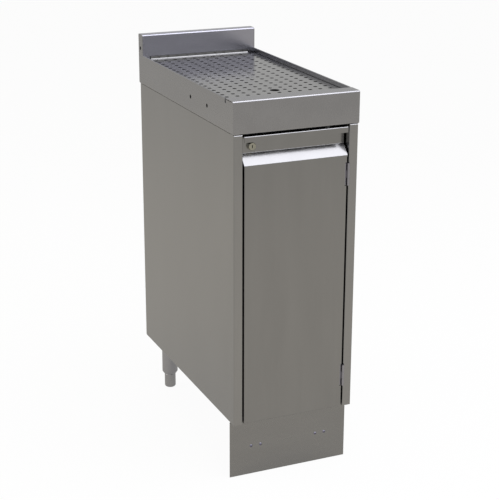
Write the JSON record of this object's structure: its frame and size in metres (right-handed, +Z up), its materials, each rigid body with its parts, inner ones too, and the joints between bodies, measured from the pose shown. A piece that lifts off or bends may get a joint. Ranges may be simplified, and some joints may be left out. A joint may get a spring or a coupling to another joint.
{
  "type": "underbar drainboard",
  "caption": "Narrow stainless underbar drainboard: a lift-out perforated insert in a rimmed top with a backsplash, over a cabinet with a locking pull-front door, kick plate and bullet feet.",
  "frame": {"origin": "on the floor, under the middle of the whole object's footprint", "axes": "+X to the right seen from the front, +Y to the back, +Z up"},
  "size_m": [0.3048, 0.615, 0.9593],
  "materials": {
    "stainless": "brushed, satin",
    "plated_hardware": "plated, smooth",
    "rubber": "matt"
  },
  "bodies": {
    "cabinet": {"drainboard_top": "stainless", "basin_pan": "stainless", "backsplash": "stainless", "backsplash_end_left": "stainless", "backsplash_end_right": "stainless", "drain_body": "stainless", "drain_strainer": "stainless", "drain_gasket": "rubber", "drain_locknut": "plated_hardware", "basin_stiffener": "stainless", "side_panel_left": "stainless", "side_panel_right": "stainless", "back_panel": "stainless", "cabinet_floor": "stainless", "front_header": "stainless", "rear_header": "stainless", "strike_plate": "plated_hardware", "door_bumpers": "rubber", "top_screws": "plated_hardware", "hose_grommet": "rubber", "upper_hinge_frame_leaf": "stainless", "upper_hinge_pin": "plated_hardware", "lower_hinge_frame_leaf": "stainless", "lower_hinge_pin": "plated_hardware", "kick_plate": "stainless", "kick_clip_left": "plated_hardware", "kick_clip_right": "plated_hardware", "kick_screws": "plated_hardware", "leg_backing_plates": "plated_hardware", "leg_bolts": "plated_hardware", "leg_front_left": "stainless", "leg_front_right": "stainless", "leg_rear_left": "stainless", "leg_rear_right": "stainless"},
    "insert": {"perforated_insert": "stainless"},
    "door": {"door_skin": "stainless", "door_liner": "stainless", "lock_housing": "plated_hardware", "lock_nut": "plated_hardware", "upper_hinge_door_leaf": "stainless", "lower_hinge_door_leaf": "stainless"},
    "lock": {"lock_plug": "plated_hardware", "lock_cam": "plated_hardware", "lock_cam_screw": "plated_hardware"},
    "foot_front_left": {"foot_front_left": "stainless"},
    "foot_front_right": {"foot_front_right": "stainless"},
    "foot_rear_left": {"foot_rear_left": "stainless"},
    "foot_rear_right": {"foot_rear_right": "stainless"}
  },
  "joints": [
    {"name": "door_hinge", "type": "hinge", "parent": "cabinet", "child": "door", "pos_m": [0.12725, -0.3045, 0.472], "axis": [0, 0, 1], "range_deg": [0, 170]},
    {"name": "lock_turn", "type": "hinge", "parent": "door", "child": "lock", "pos_m": [-0.101, -0.2811, 0.8023], "axis": [0, 1, 0], "range_deg": [0, 90]},
    {"name": "insert_lift", "type": "slide", "parent": "cabinet", "child": "insert", "axis": [0, 0, 1], "range_m": [0, 0.12]},
    {"name": "foot_front_left_adjust", "type": "slide", "parent": "cabinet", "child": "foot_front_left", "axis": [0, 0, -1], "range_m": [-0.01, 0.025]},
    {"name": "foot_front_right_adjust", "type": "slide", "parent": "cabinet", "child": "foot_front_right", "axis": [0, 0, -1], "range_m": [-0.01, 0.025]},
    {"name": "foot_rear_left_adjust", "type": "slide", "parent": "cabinet", "child": "foot_rear_left", "axis": [0, 0, -1], "range_m": [-0.01, 0.025]},
    {"name": "foot_rear_right_adjust", "type": "slide", "parent": "cabinet", "child": "foot_rear_right", "axis": [0, 0, -1], "range_m": [-0.01, 0.025]}
  ]
}
